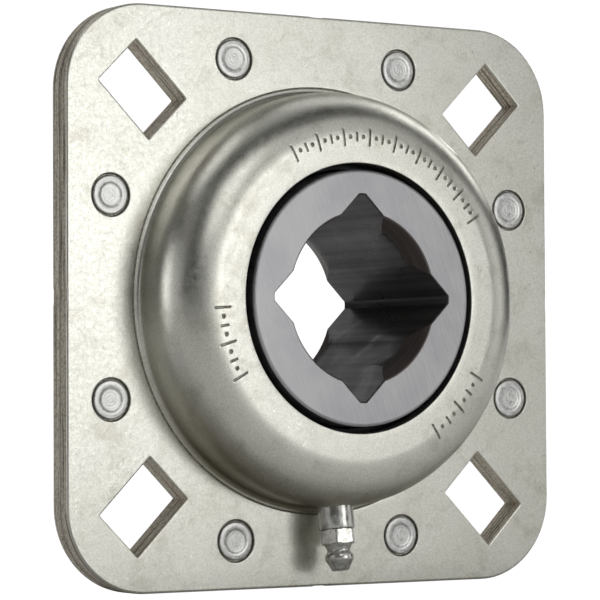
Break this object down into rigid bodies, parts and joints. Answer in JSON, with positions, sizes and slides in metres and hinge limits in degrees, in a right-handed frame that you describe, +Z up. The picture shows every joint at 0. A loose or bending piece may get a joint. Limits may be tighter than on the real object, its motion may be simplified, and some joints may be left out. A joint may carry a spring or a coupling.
{
  "type": "flange mount bearing",
  "caption": "Square-bore ball bearing held between two riveted square steel flangettes with slotted bolt holes and a grease fitting.",
  "frame": {"origin": "centre of the bearing, where the shaft axis crosses the plane on which the two flangettes meet", "axes": "+Y runs along the shaft axis to the rear, -Y is the front with the grease fitting, +Z is up and the fitting hangs towards -Z, +X is to the right seen from the front"},
  "size_m": [0.1302, 0.0428, 0.1302],
  "materials": {
    "pressed_plate": "satin bright zinc over pressed sheet",
    "rivet_steel": "satin, with turning rings",
    "fitting_zinc": "bright zinc plating",
    "ring_steel": "ground faces, dark bore",
    "ball_steel": "polished",
    "spring_steel": "drawn wire",
    "cage_steel": "pressed strip",
    "seal_rubber": "matte black nitrile",
    "shield_steel": "dull pressed sheet"
  },
  "bodies": {
    "housing": {"front_flangette": "pressed_plate", "rear_flangette": "pressed_plate", "flange_rivet_1": "rivet_steel", "flange_rivet_2": "rivet_steel", "flange_rivet_3": "rivet_steel", "flange_rivet_4": "rivet_steel", "flange_rivet_5": "rivet_steel", "flange_rivet_6": "rivet_steel", "flange_rivet_7": "rivet_steel", "flange_rivet_8": "rivet_steel", "fitting_boss": "fitting_zinc", "grease_fitting": "fitting_zinc", "fitting_check_spring": "spring_steel"},
    "check_ball": {"fitting_check_ball": "ball_steel"},
    "bearing_outer": {"outer_ring": "ring_steel", "front_seal": "seal_rubber", "rear_seal": "seal_rubber", "front_seal_shield": "shield_steel", "rear_seal_shield": "shield_steel"},
    "bearing_inner": {"inner_ring": "ring_steel"},
    "ball_cage": {"cage_front_half": "cage_steel", "cage_rear_half": "cage_steel", "cage_rivet_1": "cage_steel", "cage_rivet_2": "cage_steel", "cage_rivet_3": "cage_steel", "cage_rivet_4": "cage_steel", "cage_rivet_5": "cage_steel", "cage_rivet_6": "cage_steel", "cage_rivet_7": "cage_steel", "cage_rivet_8": "cage_steel", "cage_rivet_9": "cage_steel"},
    "rolling_ball_1": {"ball_1": "ball_steel"},
    "rolling_ball_2": {"ball_2": "ball_steel"},
    "rolling_ball_3": {"ball_3": "ball_steel"},
    "rolling_ball_4": {"ball_4": "ball_steel"},
    "rolling_ball_5": {"ball_5": "ball_steel"},
    "rolling_ball_6": {"ball_6": "ball_steel"},
    "rolling_ball_7": {"ball_7": "ball_steel"},
    "rolling_ball_8": {"ball_8": "ball_steel"},
    "rolling_ball_9": {"ball_9": "ball_steel"}
  },
  "joints": [
    {"name": "align_tilt", "type": "hinge", "parent": "housing", "child": "bearing_outer", "pos_m": [0, 0, 0], "axis": [1, 0, 0], "range_deg": [-3, 3]},
    {"name": "inner_ring_spin", "type": "hinge", "parent": "bearing_outer", "child": "bearing_inner", "pos_m": [0, 0, 0], "axis": [0, 1, 0], "continuous": true},
    {"name": "cage_spin", "type": "hinge", "parent": "bearing_outer", "child": "ball_cage", "pos_m": [0, 0, 0], "axis": [0, 1, 0], "continuous": true},
    {"name": "ball_1_roll", "type": "hinge", "parent": "ball_cage", "child": "rolling_ball_1", "pos_m": [0, 0, 0.0325], "axis": [0, 1, 0], "continuous": true},
    {"name": "ball_2_roll", "type": "hinge", "parent": "ball_cage", "child": "rolling_ball_2", "pos_m": [-0.02089, 0, 0.0249], "axis": [0, 1, 0], "continuous": true},
    {"name": "ball_3_roll", "type": "hinge", "parent": "ball_cage", "child": "rolling_ball_3", "pos_m": [-0.03201, 0, 0.00564], "axis": [0, 1, 0], "continuous": true},
    {"name": "ball_4_roll", "type": "hinge", "parent": "ball_cage", "child": "rolling_ball_4", "pos_m": [-0.02815, 0, -0.01625], "axis": [0, 1, 0], "continuous": true},
    {"name": "ball_5_roll", "type": "hinge", "parent": "ball_cage", "child": "rolling_ball_5", "pos_m": [-0.01112, 0, -0.03054], "axis": [0, 1, 0], "continuous": true},
    {"name": "ball_6_roll", "type": "hinge", "parent": "ball_cage", "child": "rolling_ball_6", "pos_m": [0.01112, 0, -0.03054], "axis": [0, 1, 0], "continuous": true},
    {"name": "ball_7_roll", "type": "hinge", "parent": "ball_cage", "child": "rolling_ball_7", "pos_m": [0.02815, 0, -0.01625], "axis": [0, 1, 0], "continuous": true},
    {"name": "ball_8_roll", "type": "hinge", "parent": "ball_cage", "child": "rolling_ball_8", "pos_m": [0.03201, 0, 0.00564], "axis": [0, 1, 0], "continuous": true},
    {"name": "ball_9_roll", "type": "hinge", "parent": "ball_cage", "child": "rolling_ball_9", "pos_m": [0.02089, 0, 0.0249], "axis": [0, 1, 0], "continuous": true},
    {"name": "check_ball_slide", "type": "slide", "parent": "housing", "child": "check_ball", "axis": [0, 0.153, 0.9882], "range_m": [0, 0.0003], "stiffness_N_per_m": 150, "springref_m": -0.001, "deforming": ["fitting_check_spring"]}
  ],
  "couplings": [
    {"joint": "cage_spin", "follows": "inner_ring_spin", "ratio": 0.4023},
    {"joint": "ball_1_roll", "follows": "inner_ring_spin", "ratio": -2.4613},
    {"joint": "ball_2_roll", "follows": "inner_ring_spin", "ratio": -2.4613},
    {"joint": "ball_3_roll", "follows": "inner_ring_spin", "ratio": -2.4613},
    {"joint": "ball_4_roll", "follows": "inner_ring_spin", "ratio": -2.4613},
    {"joint": "ball_5_roll", "follows": "inner_ring_spin", "ratio": -2.4613},
    {"joint": "ball_6_roll", "follows": "inner_ring_spin", "ratio": -2.4613},
    {"joint": "ball_7_roll", "follows": "inner_ring_spin", "ratio": -2.4613},
    {"joint": "ball_8_roll", "follows": "inner_ring_spin", "ratio": -2.4613},
    {"joint": "ball_9_roll", "follows": "inner_ring_spin", "ratio": -2.4613}
  ]
}
